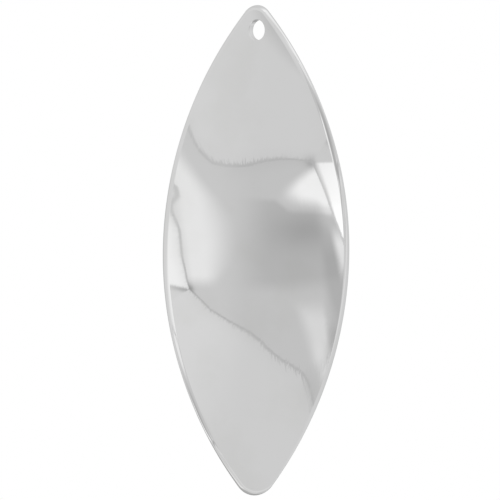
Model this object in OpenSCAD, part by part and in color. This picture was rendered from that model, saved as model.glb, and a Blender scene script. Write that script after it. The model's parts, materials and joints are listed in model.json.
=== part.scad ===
// Pointed oval drop pendant: one thin sheet pressed into a twist and plated all over.
// Millimetres. The pendant hangs with +Z up, +X to the right and -Y towards its viewer.
// The origin is the middle of the hanging hole.

/* [Outline] */
// Length from tip to tip
length = 46; // [40:0.5:56]
// Width across the middle
width = 17.5; // [15:0.5:22]
// Radius that rounds the top tip
top_r = 1.5; // [1.2:0.1:2.2]
// How far the widest place lies below the middle
belly_drop = 0.2; // [0:0.1:1]

/* [Sheet] */
// Thickness of the finished sheet between its faces
sheet_t = 0.65; // [0.5:0.05:0.8]
// How far the soft bevel of the edge reaches in from the outline
edge_w = 0.5; // [0.3:0.05:0.6]
// Thickness of the plated skin, drawn far thicker than a real one
plate_t = 0.05; // [0.04:0.01:0.08]

/* [Twist] */
// Slope that the cross-section gains for each millimetre along the pendant
twist = 0.04; // [0.02:0.005:0.045]
// Extra rise of the lobes that turn towards the viewer
swell = 0.00011; // [0:0.00001:0.00015]

/* [Hanging hole] */
// Diameter of the finished hole
hole_d = 1.95; // [1.4:0.05:2.2]
// Distance from the top tip down to the middle of the hole
hole_drop = 2.35; // [2.2:0.05:3.5]
// Distance of the hole from the long axis, to the viewer's right
hole_x = 0.2; // [0:0.05:0.4]

/* [Hidden] */

half_l = length / 2;
half_w = width / 2;
half_t = sheet_t / 2;
hole_r = hole_d / 2;
hole_z = half_l - hole_drop;

// Each long side is one arc that runs tangent into the two tip arcs, so the lower tip is blunter
reach_up = half_l + belly_drop;
reach_down = half_l - belly_drop;
side_r = (half_w * half_w + reach_up * reach_up - 2 * top_r * reach_up) / (2 * (half_w - top_r));
side_x = side_r - half_w;
bottom_r = (side_r * side_r - side_x * side_x - reach_down * reach_down) / (2 * (side_r - reach_down));
top_z = half_l - top_r;
bottom_z = bottom_r - half_l;
top_a = atan2(top_z + belly_drop, side_x);
bottom_a = atan2(bottom_z + belly_drop, side_x);

// The edge leaves each face like a bevel, the more so the lower its fall, and then rounds over to the
// outline, the fuller the lower its round
edge_fall = 1.5;
edge_round = 0.6;

// Steps along one side arc, along one tip arc, from the middle to the edge and round the edge
side_steps = 26;
tip_steps = 6;
face_steps = 8;
edge_steps = 8;
around = 2 * (side_steps + tip_steps);

// The sheet is turned by this angle about the vertical where the hole is punched square to it
hole_turn = atan(slope_x(hole_x, hole_z));
bore_l = 6 * sheet_t;
bore_fn = 64;

// Arc of the rim curve as [x, z, outward angle], without its last point
function arc(cx, cz, r, a0, a1, steps) = [
    for (i = [0 : steps - 1])
        let (a = a0 + (a1 - a0) * i / steps)
        [cx + r * cos(a), cz + r * sin(a), a]
];

// Rim curve: where the edge starts to fall away, seen from the front, from the middle of the pendant
rim = concat(
    arc(-side_x, -belly_drop, side_r - edge_w, bottom_a, top_a, side_steps),
    arc(0, top_z, top_r - edge_w, top_a, 180 - top_a, tip_steps),
    arc(side_x, -belly_drop, side_r - edge_w, 180 - top_a, 180 - bottom_a, side_steps),
    arc(0, bottom_z, bottom_r - edge_w, 180 - bottom_a, 360 + bottom_a, tip_steps)
);

// Height of the sheet's middle surface towards the viewer, and its slopes along x and z
function lift(x, z) = twist * x * z + swell * pow(x * z, 2);
function lift_rate(x, z) = twist + 2 * swell * x * z;
function slope_x(x, z) = lift_rate(x, z) * z;
function slope_z(x, z) = lift_rate(x, z) * x;

// Point of the middle surface, and the unit direction square to it that points to the back
function middle(x, z) = [x, -lift(x, z), z];
function backward(x, z) =
    let (n = [slope_x(x, z), 1, slope_z(x, z)])
    n / norm(n);

// Direction along the sheet that leads straight out over the rim at outward angle a
function outward(x, z, a) =
    let (m = [cos(a), -slope_x(x, z) * cos(a) - slope_z(x, z) * sin(a), sin(a)])
    m / norm(m);

// Ring of points on a face, at a share of the way to the rim and a distance behind the middle surface
function face_ring(share, behind) = [
    for (p = rim)
        let (x = share * p[0], z = share * p[1])
        middle(x, z) + behind * backward(x, z)
];

// Share of the half thickness that is left at a share of the way from the rim curve to the outline
function edge_share(reach) = pow(1 - pow(reach, edge_fall), edge_round);

// Ring of points round the edge, turned b degrees from the outline towards the back, and a depth in
// from the finished surface
function edge_ring(b, depth) = [
    for (p = rim)
        middle(p[0], p[1])
        + (edge_w - depth) * cos(b) * outward(p[0], p[1], p[2])
        + (half_t - depth) * sign(b) * edge_share(cos(b)) * backward(p[0], p[1])
];

// All rings from the middle of the front, over the edge, to the middle of the back
function sheet_rings(depth) = concat(
    [for (k = [1 : face_steps]) face_ring(k / face_steps, depth - half_t)],
    [for (k = [1 : edge_steps - 1]) edge_ring(-90 + 180 * k / edge_steps, depth)],
    [for (k = [face_steps : -1 : 1]) face_ring(k / face_steps, half_t - depth)]
);

// Closed sheet with its edge, a depth in from the finished surface all over, without its hole
module sheet(depth) {
    rings = sheet_rings(depth);
    front = 0;
    back = 1 + len(rings) * around;
    points = concat(
        [middle(0, 0) + (depth - half_t) * backward(0, 0)],
        [for (ring = rings) each ring],
        [middle(0, 0) + (half_t - depth) * backward(0, 0)]
    );
    function at(k, i) = 1 + k * around + i % around;
    last = len(rings) - 1;
    faces = concat(
        [for (i = [0 : around - 1]) [front, at(0, i + 1), at(0, i)]],
        [for (k = [0 : last - 1], i = [0 : around - 1]) [at(k, i), at(k, i + 1), at(k + 1, i + 1)]],
        [for (k = [0 : last - 1], i = [0 : around - 1]) [at(k, i), at(k + 1, i + 1), at(k + 1, i)]],
        [for (i = [0 : around - 1]) [at(last, i), at(last, i + 1), back]]
    );
    translate(-middle(hole_x, hole_z))
        polyhedron(points = points, faces = faces);
}

// Round hole through the sheet at the origin, square to the sheet
module bore(r) {
    rotate([90, 0, -hole_turn])
        cylinder(h = bore_l, r = r, center = true, $fn = bore_fn);
}

// Formed base-metal sheet, just under the plating on every side
module brass_blank() {
    color([0.79, 0.64, 0.36])
        difference() {
            sheet(plate_t);
            bore(hole_r);
        }
}

// Bright plated skin over both faces and the edge, open at the hole
module silver_plate() {
    color([0.85, 0.85, 0.85])
        difference() {
            sheet(0);
            sheet(plate_t);
            bore(hole_r);
        }
}

brass_blank();
silver_plate();
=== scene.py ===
import json
import math
import bpy
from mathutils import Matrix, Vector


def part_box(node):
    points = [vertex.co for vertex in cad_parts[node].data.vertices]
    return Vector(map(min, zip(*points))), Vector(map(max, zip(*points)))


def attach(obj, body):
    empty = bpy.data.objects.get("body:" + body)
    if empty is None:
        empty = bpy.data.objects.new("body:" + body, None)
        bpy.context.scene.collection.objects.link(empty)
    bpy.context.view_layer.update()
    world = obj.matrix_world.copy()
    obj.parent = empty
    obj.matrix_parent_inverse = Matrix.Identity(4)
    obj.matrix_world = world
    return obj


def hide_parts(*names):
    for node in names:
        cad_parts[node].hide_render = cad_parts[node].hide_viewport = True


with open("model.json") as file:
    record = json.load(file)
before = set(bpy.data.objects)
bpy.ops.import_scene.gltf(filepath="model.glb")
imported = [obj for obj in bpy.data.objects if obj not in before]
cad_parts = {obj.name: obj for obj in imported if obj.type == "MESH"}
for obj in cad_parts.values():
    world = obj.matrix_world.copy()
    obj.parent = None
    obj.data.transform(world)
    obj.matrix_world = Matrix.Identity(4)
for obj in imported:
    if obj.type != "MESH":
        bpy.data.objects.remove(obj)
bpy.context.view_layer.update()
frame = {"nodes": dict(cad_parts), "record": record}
mm = 0.001  # sizes are in millimetres, the scene is in metres

# What the frame says of the sheet: its box round the hanging hole, and how the hole is turned
sheetLow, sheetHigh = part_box("silver_plate")
holeAxis = frame["record"]["mounts"][0]["axis"]
halfLength = (sheetHigh[2] - sheetLow[2]) / 2 / mm
halfWidth = (sheetHigh[0] - sheetLow[0]) / 2 / mm
holeX = -(sheetHigh[0] + sheetLow[0]) / 2 / mm  # the hole from the sheet's middle, to the right and up
holeZ = halfLength - sheetHigh[2] / mm
holeSlope = holeAxis[0] / holeAxis[1]
holeCosine = 1 / math.hypot(1, holeSlope)
print("frame loaded: sheet", round(2 * halfWidth, 2), "by", round(2 * halfLength, 2), "mm")


# Shader values as Python expressions
class Wire:
    def __init__(self, tree, socket=None):
        self.tree = tree
        self.socket = socket

    # any node: its type, its settings, then the values or links of its sockets
    def node(self, kind, settings, sockets, out=0):
        made = self.tree.nodes.new("ShaderNode" + kind)
        for name, value in settings.items():
            setattr(made, name, value)
        for name, value in sockets.items():
            if isinstance(value, Wire):
                self.tree.links.new(value.socket, made.inputs[name])
            else:
                made.inputs[name].default_value = value
        return Wire(self.tree, made.outputs[out] if made.outputs else None)

    def math(self, operation, *values):
        return self.node("Math", {"operation": operation}, dict(enumerate(values)))

    def __add__(self, other):
        return self.math("ADD", self, other)

    def __sub__(self, other):
        return self.math("SUBTRACT", self, other)

    def __rsub__(self, other):
        return self.math("SUBTRACT", other, self)

    def __mul__(self, other):
        return self.math("MULTIPLY", self, other)

    def __truediv__(self, other):
        return self.math("DIVIDE", self, other)

    __radd__ = __add__
    __rmul__ = __mul__

    def exp(self):
        return self.math("EXPONENT", self)

    # 0 below low, 1 above high, a smooth rise between
    def rise(self, low, high):
        settings = {"interpolation_type": "SMOOTHSTEP"}
        return self.node("MapRange", settings, {"Value": self, "From Min": low, "From Max": high})


def newMaterial(name):
    material = bpy.data.materials.new(name)
    material.use_nodes = True
    material.node_tree.nodes.clear()
    return material, Wire(material.node_tree)


def placeInMillimetres(wire):
    place = wire.node("TexCoord", {}, {}, out="Object")
    return wire.node("VectorMath", {"operation": "SCALE"}, {"Vector": place, "Scale": 1 / mm})


# Noise drawn out along the length, as polishing and rolling leave it
def drawnLines(wire, place, finish):
    width, length = finish["lineWidth"], finish["lineLength"]
    along = wire.node("Mapping", {}, {"Vector": place, "Scale": (1 / width, 1 / width, 1 / length)})
    return wire.node("TexNoise", {}, {"Vector": along, "Scale": 1.0, "Detail": 2.0, "Roughness": 0.6})


def metalSurface(wire, tint, roughness, relief):
    bump = wire.node("Bump", {}, {"Height": relief, "Strength": 1.0, "Distance": mm})    # relief is in mm
    metal = wire.node("BsdfPrincipled", {}, {
        "Base Color": tint,
        "Metallic": 1.0,
        "Roughness": roughness,
        "Normal": bump,
    })
    wire.node("OutputMaterial", {}, {"Surface": metal})


# Two colours mixed by a share; a Mix node has its colour sockets at these places
colourSockets = {"first": 6, "second": 7, "mixed": 2}


def mixTints(wire, share, first, second):
    sockets = {"Factor": share, colourSockets["first"]: first, colourSockets["second"]: second}
    return wire.node("Mix", {"data_type": "RGBA"}, sockets, out=colourSockets["mixed"])


# Bright silver plate: a mirror, a little uneven, with a few fine upright scratches from tumbling
silverFinish = {
    "bright": (0.95, 0.95, 0.95, 1),
    "dulled": (0.92, 0.92, 0.915, 1),
    "patchSize": 5.0,       # mm, patches dulled by handling
    "patchNoise": (0.45, 0.75),     # noise where a patch starts and where it is full
    "roughness": 0.03,
    "dulledRoughness": 0.03,    # added where dulled
    "lineWidth": 0.22,      # mm
    "lineLength": 3.0,      # mm
    "lineDepth": 0.0004,    # mm
    "lineNoise": (0.5, 0.8),    # noise where a scratch starts and where it is full
    "rippleSize": 6.0,      # mm
    "rippleDepth": 0.012,   # mm
}


def silverPlate(finish):
    material, wire = newMaterial("silverPlate")
    place = placeInMillimetres(wire)
    patches = wire.node("TexNoise", {}, {"Vector": place, "Scale": 1 / finish["patchSize"], "Detail": 3.0})
    ripple = wire.node("TexNoise", {}, {"Vector": place, "Scale": 1 / finish["rippleSize"], "Detail": 1.0})
    scratches = drawnLines(wire, place, finish).rise(*finish["lineNoise"])
    dulled = patches.rise(*finish["patchNoise"])
    tint = mixTints(wire, dulled, finish["bright"], finish["dulled"])
    roughness = finish["roughness"] + finish["dulledRoughness"] * dulled
    metalSurface(wire, tint, roughness, finish["rippleDepth"] * ripple - finish["lineDepth"] * scratches)
    return material


# Rolled brass under the plate: warm, with fine rolling lines and a little tarnish
brassFinish = {
    "bright": (0.78, 0.60, 0.30, 1),
    "tarnished": (0.60, 0.42, 0.20, 1),
    "patchSize": 3.0,       # mm
    "patchNoise": (0.40, 0.70),     # noise where tarnish starts and where it is full
    "roughness": 0.28,
    "tarnishRoughness": 0.15,   # added where tarnished
    "lineWidth": 0.12,      # mm
    "lineLength": 6.0,      # mm
    "lineDepth": 0.002,     # mm
}


def rolledBrass(finish):
    material, wire = newMaterial("rolledBrass")
    place = placeInMillimetres(wire)
    patches = wire.node("TexNoise", {}, {"Vector": place, "Scale": 1 / finish["patchSize"], "Detail": 4.0})
    tarnish = patches.rise(*finish["patchNoise"])
    tint = mixTints(wire, tarnish, finish["bright"], finish["tarnished"])
    roughness = finish["roughness"] + finish["tarnishRoughness"] * tarnish
    metalSurface(wire, tint, roughness, finish["lineDepth"] * drawnLines(wire, place, finish))
    return material


frame["nodes"]["brass_blank"].data.materials[0] = rolledBrass(brassFinish)
print("brass finished")


# The plated sheet: a pointed oval cut from a flat blank, pressed to a twist, edges rounded by tumbling
sheetShape = {
    "topRadius": 1.5,       # mm, round of the top point
    "bellyDrop": 0.2,       # mm, the widest place below the middle
    "thickness": 0.65,      # mm
    "swell": 0.00011,       # extra rise of the lobes that turn to the viewer, per cubic mm
    "edgeReach": 0.5,       # mm, how far the round of the edge reaches in from the outline
    "edgeFall": 1.5,        # low: the round starts as a bevel
    "edgeRound": 0.6,       # low: it ends full
    "edgeSteps": 14,
    "holeRadius": 0.95,     # mm, the plate lines the hole
    "holeRound": 0.075,     # mm
    "holeSteps": 5,
    "holeTries": 5,         # each brings a point nearer to the hole's circle
    "rows": 72,             # rows of faces from the hole to the edge, closer at both ends
    "sideSteps": 110,       # faces along each side, the tip and the foot
    "tipSteps": 40,
    "footSteps": 24,
    "crowding": 1.5,        # how the faces of the sides crowd towards the hole
}

# The twist follows from the hole's tilt; each long side is one arc that runs into the arcs of tip and foot
twist = holeSlope / holeZ - 2 * sheetShape["swell"] * holeX * holeZ
bellyDrop = sheetShape["bellyDrop"]
topRadius = sheetShape["topRadius"]
reachUp = halfLength + bellyDrop
reachDown = halfLength - bellyDrop
sideRadius = (halfWidth**2 + reachUp**2 - 2 * topRadius * reachUp) / (2 * (halfWidth - topRadius))
sideX = sideRadius - halfWidth
footRadius = (sideRadius**2 - sideX**2 - reachDown**2) / (2 * (sideRadius - reachDown))
topCentre = halfLength - topRadius
footCentre = footRadius - halfLength
topAngle = math.atan2(topCentre + bellyDrop, sideX)
footAngle = math.atan2(footCentre + bellyDrop, sideX)


# How far the press brings a place of the sheet forward, and its slopes across and along
def lift(x, z):
    return twist * x * z + sheetShape["swell"] * (x * z)**2


def slopes(x, z):
    rate = twist + 2 * sheetShape["swell"] * x * z
    return rate * z, rate * x


middle = (-holeX * mm, lift(holeX, holeZ) * mm, -holeZ * mm)    # the sheet's middle in the frame


# Where the edge starts to round: four arcs, as places across and up with their outward angle
def edgeStart(shape):
    points = []

    def addArc(centreX, centreZ, radius, start, end, shares):
        reach = radius - shape["edgeReach"]
        for share in shares:
            angle = start + (end - start) * share
            points.append((centreX + reach * math.cos(angle), centreZ + reach * math.sin(angle), angle))

    sides = [(count / shape["sideSteps"])**shape["crowding"] for count in range(shape["sideSteps"])]
    tip = [count / shape["tipSteps"] for count in range(shape["tipSteps"] + 1)]
    foot = [count / shape["footSteps"] for count in range(shape["footSteps"] + 1)]
    addArc(0, topCentre, topRadius, topAngle, math.pi - topAngle, tip)
    addArc(sideX, -bellyDrop, sideRadius, math.pi - topAngle, math.pi - footAngle, sides[1:])
    addArc(0, footCentre, footRadius, math.pi - footAngle, 2 * math.pi + footAngle, foot)
    addArc(-sideX, -bellyDrop, sideRadius, topAngle, footAngle, sides[:0:-1])
    return points


# A place further out along the pressed surface
def outFrom(x, z, angle, distance):
    slopeX, slopeZ = slopes(x, z)
    outX, outZ = math.cos(angle), math.sin(angle)
    outY = -slopeX * outX - slopeZ * outZ
    step = distance / math.hypot(outX, outY, outZ)
    return x + step * outX, step * outY - lift(x, z), z + step * outZ


# Even steps from 0 to 1 moved closer together at both ends
def closeAtEnds(step):
    return step * step * (3 - 2 * step)


# How far a place of the sheet lies from the hole's axis
def fromAxis(x, z):
    aside = (x - holeX + holeSlope * (lift(x, z) - lift(holeX, holeZ))) * holeCosine
    return math.hypot(aside, z - holeZ)


# Places from the rim of the hole to the outline, each with its share of the full thickness
def spoke(shape, x, z, angle):
    def onTheWay(share):
        return holeX + (x - holeX) * share, holeZ + (z - holeZ) * share

    rows = []
    for count in range(shape["holeSteps"] + 1):
        turn = math.pi / 2 * count / shape["holeSteps"]
        lost = shape["holeRound"] * (1 - math.sin(turn))
        reach = shape["holeRadius"] + shape["holeRound"] * (1 - math.cos(turn))
        share = reach / fromAxis(x, z)
        for attempt in range(shape["holeTries"]):   # the way is curved, so one step doesn't end on the circle
            share = share * reach / fromAxis(*onTheWay(share))
        rows.append((share, 1 - 2 * lost / shape["thickness"]))
    near = rows[-1][0]
    for count in range(1, shape["rows"] + 1):
        rows.append((near + (1 - near) * closeAtEnds(count / shape["rows"]), 1))
    places = []
    for share, full in rows:
        atX, atZ = onTheWay(share)
        places.append(((atX, -lift(atX, atZ), atZ), full))
    for count in range(1, shape["edgeSteps"] + 1):
        reach = closeAtEnds(count / shape["edgeSteps"])
        full = (1 - reach**shape["edgeFall"])**shape["edgeRound"]
        places.append((outFrom(x, z, angle, shape["edgeReach"] * reach), full))
    return places


def selectOnly(mesh, part, chosen):
    for each in (mesh.vertices, mesh.edges, mesh.polygons):
        each.foreach_set("select", [False] * len(each))
    part.foreach_set("select", chosen)
    tools = bpy.context.tool_settings
    tools.mesh_select_mode = (part == mesh.vertices, part == mesh.edges, part == mesh.polygons)


# Runs an edit-mode operator on what is selected
def edit(operator, **options):
    bpy.ops.object.mode_set(mode="EDIT")
    operator(**options)
    bpy.ops.object.mode_set(mode="OBJECT")


mergeReach = 1e-4   # mm, points this near to each other become one


def mergeAll(mesh):
    selectOnly(mesh, mesh.vertices, [True] * len(mesh.vertices))
    edit(bpy.ops.mesh.remove_doubles, threshold=mergeReach)


def applyModifier(piece, kind, **settings):
    modifier = piece.modifiers.new(kind.title(), kind)
    for name, value in settings.items():
        setattr(modifier, name, value)
    bpy.ops.object.modifier_apply(modifier=modifier.name)


# From millimetres round the sheet's middle to the frame, whose origin is the hole
def toFrame(piece):
    piece.scale = (mm, mm, mm)
    piece.location = middle
    bpy.ops.object.transform_apply(location=True, rotation=True, scale=True)


def makeSheet(shape):
    # a plain grid wrapped round the hole, its rows running out to the outline
    spokes = [spoke(shape, *point) for point in edgeStart(shape)]
    rows = len(spokes[0]) - 1
    bpy.ops.object.select_all(action="DESELECT")
    bpy.ops.mesh.primitive_grid_add(x_subdivisions=len(spokes), y_subdivisions=rows, size=2)
    piece = bpy.context.object
    piece.name = "plated_sheet"
    mesh = piece.data
    fullness = piece.vertex_groups.new(name="fullness")
    for vert in mesh.vertices:
        column = round((vert.co.x + 1) / 2 * len(spokes)) % len(spokes)
        vert.co, share = spokes[column][round((vert.co.y + 1) / 2 * rows)]
        fullness.add([vert.index], share, "REPLACE")
    mergeAll(mesh)
    print("sheet cut:", len(mesh.vertices), "vertices")

    # thickness, which runs out at the outline, so that front and back close there
    applyModifier(piece, "SOLIDIFY", thickness=shape["thickness"], offset=0, vertex_group=fullness.name)
    mergeAll(mesh)
    toFrame(piece)
    bpy.ops.object.shade_smooth()
    mesh.materials.append(silverPlate(silverFinish))
    return piece


sheet = makeSheet(sheetShape)
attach(sheet, "root")
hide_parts("silver_plate")
print("sheet plated:", len(sheet.data.polygons), "faces")


# A light tent of white cloth round the sheet; places are mm from the sheet's middle, across and up
tent = {
    "front": -200,          # mm, the front cloth, between the sheet and the camera
    "back": 300,            # mm
    "cornerBand": 2.5,            # mm, a band along the front cloth's edges that turns the corners, with painted shade
    "close": 0.01,          # mm, faces this near to the front or the back plane lie in it
    "raggedScale": 0.5,     # noise per mm along the ragged edge of the painted shade
    "raggedRange": 40,     # mm for the whole range of the noise
    "raggedSoft": 1.5,      # mm, how softly the painted shade ends
    "darkCorner": (65, 118),    # painted shade in the top right corner, where the front cloth and its corner band are darkest
    "left": [(-120, 115), (-139, 89), (-131, 82), (-125, 70), (-126, 54), (-131, 37), (-139, 20), (-156, -4),
             (-173, -34), (-189, -70), (-201, -104)],
    "floor": [(-205, -122), (-178, -128), (-118, -138), (-60, -146), (-8, -153), (60, -160)],
    "right": [(215, -170), (195, -90), (188, -78), (177, -77), (168, -78), (164, -79), (164, -77), (167, -69),
              (169, -55), (166, -41), (156, -25), (141, -2), (126, 37), (106, 79)],
    "top": [(66, 119), (46, 122), (4, 123), (-38, 119), (-64, 124), (-72, 122), (-81, 111), (-88, 110),
            (-98, 118)],
}


# How bright each cloth is where nothing lights or shades it; the corner band's darker tone is painted shade
clothTone = {"front": 0.56, "side": 0.615, "floor": 0.62, "top": 0.68, "cornerBand": 0.48, "back": 0.5}


# A soft round spot at x, z
def spot(across, up, x, z, wide, high):
    off = (across - x) / wide
    over = (up - z) / high
    return (0 - off * off - over * over).exp()


# The glow of each cloth at a place given in mm: across and up from the sheet's middle, and deep behind
# the front cloth; each function shapes its patches, then adds the lighter and takes away the darker ones
def frontGlow(across, deep, up):
    # a window of light above, on a sill that sags in the middle
    sill = 55 + 0.004 * (across + 10) * (across + 10)
    soft = 12 + 17 * across.rise(-105, -40) - 10 * across.rise(10, 50)
    window = up.rise(sill - soft, sill + soft) * (1 - across.rise(34, 66))

    # a broad shade below it, darkest in its core
    below = 1 - up.rise(-55, -20)
    shade = (across - 18 * below).rise(-86, -72) * (1 - across.rise(42, 72)) * (1 - up.rise(-30, 40))
    core = spot(across, up, -28, -80, 32, 60)

    # light off the floor in the low left corner, and a duller place above it at the left edge
    corner = (0.94 * across + 51.4 - up).rise(-18, 20) * (1 - up.rise(-80, -20))
    corner = corner * (1 - (across + 0.05 * up + 12 * up.rise(-135, -105)).rise(-95, -55))
    aside = (1 - (across - 0.55 * up).rise(-155, -115)) * (1 - up.rise(40, 70))

    # a streak in the low right corner, above a ledge that climbs to the right
    ledge = up - 0.36 * up.math("MAXIMUM", across - 98, 0)
    sharp = across.rise(90, 120)
    streak = across.rise(70, 104) * ledge.rise(-101 - sharp, -94 - 6 * sharp)
    streak = streak * (1 - (ledge + 0.7 * across).rise(-14, 6)) + 0.4 * spot(across, up, 133, -87, 10, 4)

    # painted shade below the ledge, light beyond its right end, and a bright strip along the foot
    beyond = (across - 1.5 * up).rise(268, 284) * (1 - up.rise(-103, -93))
    crisp = 1.4 * sharp * (1 - across.rise(122, 140))
    ledgeShade = (1 - 0.5 * crisp) * (1 - ledge.rise(-114, -97)) + crisp * (1 - ledge.rise(-104, -99.5))
    ledgeShade = ledgeShade * (1 - beyond) * (1.2 * across.rise(-10, 25) + across.rise(50, 72))
    strip = (1 - up.rise(-141, -124)) * across.rise(-45, 5) * (1 - (across - 1.67 * up).rise(260, 280))
    foot = (1 - up.rise(-130, -95)) * across.rise(-75, -60) * (1 - across.rise(-45, 5))

    lighter = (0.042 * up.rise(0, 70) + 0.22 * window + 0.35 * corner + 0.14 * streak + 0.36 * strip
               + 0.09 * foot + 0.08 * beyond * (1 + spot(across, up, 118, -121, 22, 14))
               + 0.22 * spot(across, up, 185, -124, 22, 12))
    # among the darker ones, the two spots are painted shade in the low left and the top right corners
    darker = (0.09 * up.rise(105, 122) + 0.085 * shade + 0.095 * core + 0.025 * aside + 0.05 * ledgeShade
              + 0.13 * spot(across, up, -195, -118, 22, 20)
              + 0.20 * spot(across, up, *tent["darkCorner"], 9, 9))
    return clothTone["front"] + lighter - darker


# Painted shade along a cloth's front edge, reaching back an uneven way, so that its edge is ragged
def ragged(deep, sideways, reach):
    noise = {"W": sideways, "Scale": tent["raggedScale"], "Detail": 1.0}
    uneven = deep.node("TexNoise", {"noise_dimensions": "1D"}, noise) - 0.5
    shadeReach = tent["cornerBand"] + reach + tent["raggedRange"] * uneven
    return (shadeReach - deep).rise(-tent["raggedSoft"], tent["raggedSoft"])


# Lighter above, on the right also low down; on the left dim low down at the front and far back
def sideGlow(across, deep, up):
    right = across.rise(-20, 20)
    low = 1 - up.rise(-118, -90)
    lightRight = 0.08 * low + 0.02 * up.rise(-10, 30)
    dimLeft = 0.13 * spot(deep, up, 2, -116, 24, 22) + 0.09 * deep.rise(175, 200) * (1 - up.rise(30, 55))
    raggedShade = ragged(deep, up, 5 * up.rise(-75, -30) - 3 * up.rise(20, 60))
    lighter = 0.045 * up.rise(0, 80) + 0.02 * deep.rise(5, 50) + lightRight * right
    darker = 0.04 * deep.rise(230, 270) + 0.12 * raggedShade + dimLeft * (1 - right)
    return clothTone["side"] + lighter - darker


# White near the front edge, a bright ridge further back and dim behind that
def floorGlow(across, deep, up):
    line = across + 203 - 0.65 * deep
    lit = deep.rise(1, across.math("MAXIMUM", -3 - 0.18 * across, 7))
    lit = lit * line.rise(-3, 5) * (1 - (across + 1.1 * deep).rise(-11, 19))
    ridge = deep - 108 - 0.25 * (across - 40)
    lighter = ((0.35 + 0.0014 * (across + 130)) * lit + 0.04 * across.rise(20, 70)
               + 0.3 * spot(across, ridge, 60, 0, 60, 18))
    # the spot at the front left is painted shade in the corner
    darker = (0.2 * ridge.rise(25, 60) * (1 - across.rise(100, 140))
              + 0.16 * spot(across, deep, -198, 4, 16, 14) + 0.08 * deep.rise(230, 270))
    return clothTone["floor"] + lighter - darker


# Light as far as a line that draws in towards the back, with two bright places behind
def topGlow(across, deep, up):
    line = across - 67 + 0.45 * deep
    behind = deep.rise(60, 90)
    lit = (1 - line.rise(-3, 3)) * (1 - behind)
    lighter = ((0.03 + 0.12 * across.rise(-100, -30) + 0.06 * deep.rise(5, 40)) * lit
               + 0.33 * spot(across, deep, -65, 148, 70, 33) + 0.32 * spot(across, deep, -5, 100, 45, 28))
    darker = 0.06 * behind + 0.26 * spot(line, deep, 4, 10, 5, 45) + 0.12 * ragged(deep, across, 3)
    return clothTone["top"] + lighter - darker


# The corner band, darker as painted shade: lighter above and by the floor
def cornerBandGlow(across, deep, up):
    byFloor = (1 - up.rise(-136, -122)) * across.rise(-200, -165) * (1 - across.rise(20, 50))
    high = up.rise(20, 60) * (1 - across.rise(-100, 60))
    lighter = 0.05 * high + 0.04 * up.rise(100, 118) + 0.13 * byFloor
    return clothTone["cornerBand"] + lighter - 0.18 * spot(across, up, *tent["darkCorner"], 11, 11)


# Lighter towards the top
def backGlow(across, deep, up):
    return clothTone["back"] + 0.001 * up


clothGlow = {"front": frontGlow, "left": sideGlow, "floor": floorGlow, "right": sideGlow, "top": topGlow,
             "cornerBand": cornerBandGlow, "back": backGlow}


def clothMaterial(name):
    material, wire = newMaterial(name + "Cloth")
    place = placeInMillimetres(wire)
    fromHole = [wire.node("SeparateXYZ", {}, {"Vector": place}, out=axis) for axis in "XYZ"]
    across, along, up = [far - offset / mm for far, offset in zip(fromHole, middle)]
    light = wire.node("Emission", {}, {"Color": clothGlow[name](across, along - tent["front"], up)})
    wire.node("OutputMaterial", {}, {"Surface": light})
    return material


def makeTent(size):
    walls = ("left", "floor", "right", "top")
    outline = [point for wall in walls for point in size[wall]]
    owners = [wall for wall in walls for point in size[wall]]
    bpy.ops.object.select_all(action="DESELECT")
    bpy.ops.mesh.primitive_circle_add(vertices=len(outline), fill_type="NGON")
    piece = bpy.context.object
    piece.name = "light_tent"
    mesh = piece.data
    for vert, (x, z) in zip(mesh.vertices, outline):
        vert.co = (x, size["front"], z)
    bpy.ops.object.mode_set(mode="EDIT")
    bpy.ops.mesh.select_all(action="SELECT")
    bpy.ops.mesh.extrude_region_move(TRANSFORM_OT_translate={"value": (0, size["back"] - size["front"], 0)})
    bpy.ops.mesh.select_all(action="SELECT")
    bpy.ops.mesh.bisect(plane_co=(0, size["front"] + size["cornerBand"], 0), plane_no=(0, 1, 0))
    bpy.ops.object.mode_set(mode="OBJECT")
    atFront = [all(mesh.vertices[index].co.y < size["front"] + size["close"] for index in face.vertices)
               for face in mesh.polygons]
    selectOnly(mesh, mesh.polygons, atFront)
    edit(bpy.ops.mesh.inset, thickness=size["cornerBand"], use_boundary=True)

    # each face glows as its own cloth; the faces along the front edges are the corner band of painted shade
    names = list(clothGlow)
    for name in names:
        mesh.materials.append(clothMaterial(name))
    nextPoints = outline[1:] + outline[:1]
    middles = [((x + nextX) / 2, (z + nextZ) / 2) for (x, z), (nextX, nextZ) in zip(outline, nextPoints)]
    for face in mesh.polygons:
        x, y, z = face.center
        if face.select:
            name = "front"
        elif y < size["front"] + size["cornerBand"]:
            name = "cornerBand"
        elif y > size["back"] - size["close"]:
            name = "back"
        else:
            name = owners[min(range(len(outline)), key=lambda count: math.dist(middles[count], (x, z)))]
        face.material_index = names.index(name)
    toFrame(piece)
    piece.visible_camera = False
    return piece


# 1 where the camera sees the background, or sees it in metal or through glass
def seenDirectly(wire):
    rays = [wire.node("LightPath", {}, {}, out=ray)
            for ray in ("Is Camera Ray", "Is Glossy Ray", "Is Transmission Ray")]
    return wire.math("MAXIMUM", wire.math("MAXIMUM", rays[0], rays[1]), rays[2])


# A plain pale floor under the tent, white to the camera
floorShape = {
    "size": 1500,           # mm
    "drop": 230,            # mm under the hole
    "pale": (0.9, 0.9, 0.9, 1),
}


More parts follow.
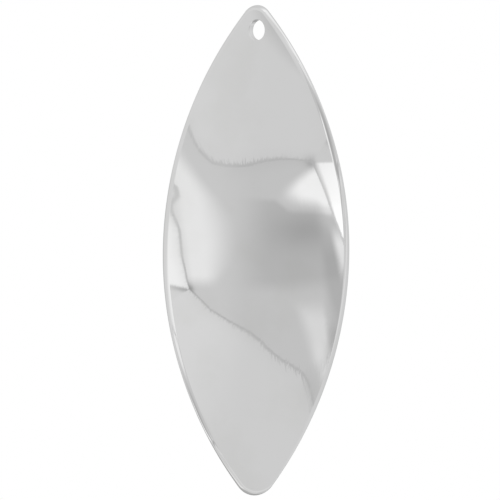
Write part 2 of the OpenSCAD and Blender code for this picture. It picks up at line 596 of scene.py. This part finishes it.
def makeFloor(size):
    bpy.ops.object.select_all(action="DESELECT")
    bpy.ops.mesh.primitive_plane_add(size=size["size"] * mm, location=(0, 0, -size["drop"] * mm))
    piece = bpy.context.object
    piece.name = "floor"
    bpy.ops.object.transform_apply(location=True, rotation=True, scale=True)
    material, wire = newMaterial("paleFloor")
    pale = wire.node("BsdfDiffuse", {}, {"Color": size["pale"]})
    white = wire.node("Emission", {}, {"Strength": 1.0})
    both = wire.node("MixShader", {}, {0: seenDirectly(wire), 1: pale, 2: white})
    wire.node("OutputMaterial", {}, {"Surface": both})
    piece.data.materials.append(material)
    return piece


# The background: white where it is seen, grey where it only lights
worldTones = {"grey": (0.6, 0.6, 0.6, 1), "white": (1, 1, 1, 1)}


def makeWorld(tones):
    world = bpy.data.worlds.new("studio")
    world.use_nodes = True
    world.node_tree.nodes.clear()
    wire = Wire(world.node_tree)
    plain = wire.node("Background", {}, {"Color": tones["grey"]})
    white = wire.node("Background", {}, {"Color": tones["white"]})
    both = wire.node("MixShader", {}, {0: seenDirectly(wire), 1: plain, 2: white})
    wire.node("OutputWorld", {}, {"Surface": both})
    bpy.context.scene.world = world


makeTent(tent)
makeFloor(floorShape)
makeWorld(worldTones)
print("stage set")

# The camera: far off and level, straight at the sheet's middle
cameraPlace = {
    "distance": 500,        # mm
    "seen": 46.9,           # mm of the sheet's middle plane from top to bottom
    "aside": -0.57,         # mm right of the sheet's middle
    "above": 0.02,          # mm over it
    "roll": 0.23,           # degrees
    "sensor": 36,           # mm
}
bpy.ops.object.camera_add(
    location=(middle[0] + cameraPlace["aside"] * mm, middle[1] - cameraPlace["distance"] * mm,
              middle[2] + cameraPlace["above"] * mm),
    rotation=(math.pi / 2, -math.radians(cameraPlace["roll"]), 0))
camera = bpy.context.object
camera.data.sensor_width = cameraPlace["sensor"]
camera.data.lens = cameraPlace["sensor"] * cameraPlace["distance"] / cameraPlace["seen"]
bpy.context.scene.camera = camera
bpy.context.scene.view_settings.view_transform = "Standard"
print("camera placed")
